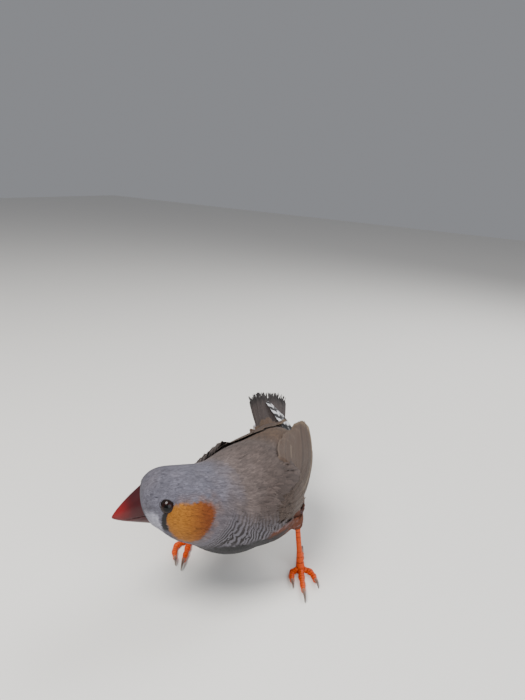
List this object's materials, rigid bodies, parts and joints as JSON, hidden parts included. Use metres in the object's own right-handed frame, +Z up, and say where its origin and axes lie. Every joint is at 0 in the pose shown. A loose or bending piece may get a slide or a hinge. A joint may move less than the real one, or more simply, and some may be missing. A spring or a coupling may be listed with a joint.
{
  "type": "zebra finch",
  "caption": "Small perching bird with a red cone-shaped bill and orange cheeks, standing with its head turned aside and its tail spread.",
  "frame": {"origin": "on the floor under the middle of the box round the whole bird", "axes": "-Y the way the trunk faces, +X the bird's left, +Z up"},
  "size_m": [0.045, 0.0762, 0.032],
  "materials": {
    "coat": "short soft feathers, grey with brown, cream and barred markings",
    "wing": "flat overlapping flight feathers, grey-brown with pale edges",
    "tail": "flat blackish-brown flight feathers with barred white coverts",
    "bill": "smooth satin horn, deep red",
    "eye": "wet and glossy, nearly black",
    "leg": "scaly orange skin",
    "claw": "satin horn, grey-brown"
  },
  "bodies": {
    "root": {"head": "coat", "bill_upper": "bill", "bill_lower": "bill", "eye_left": "eye", "eye_right": "eye", "neck": "coat", "trunk": "coat", "wing_left": "wing", "wing_right": "wing", "tail": "tail", "thigh_left": "coat", "shank_left": "leg", "toe_middle_left": "leg", "claw_middle_left": "claw", "toe_inner_left": "leg", "claw_inner_left": "claw", "toe_outer_left": "leg", "claw_outer_left": "claw", "toe_hind_left": "leg", "claw_hind_left": "claw", "thigh_right": "coat", "shank_right": "leg", "toe_middle_right": "leg", "claw_middle_right": "claw", "toe_inner_right": "leg", "claw_inner_right": "claw", "toe_outer_right": "leg", "claw_outer_right": "claw", "toe_hind_right": "leg", "claw_hind_right": "claw"}
  },
  "joints": []
}
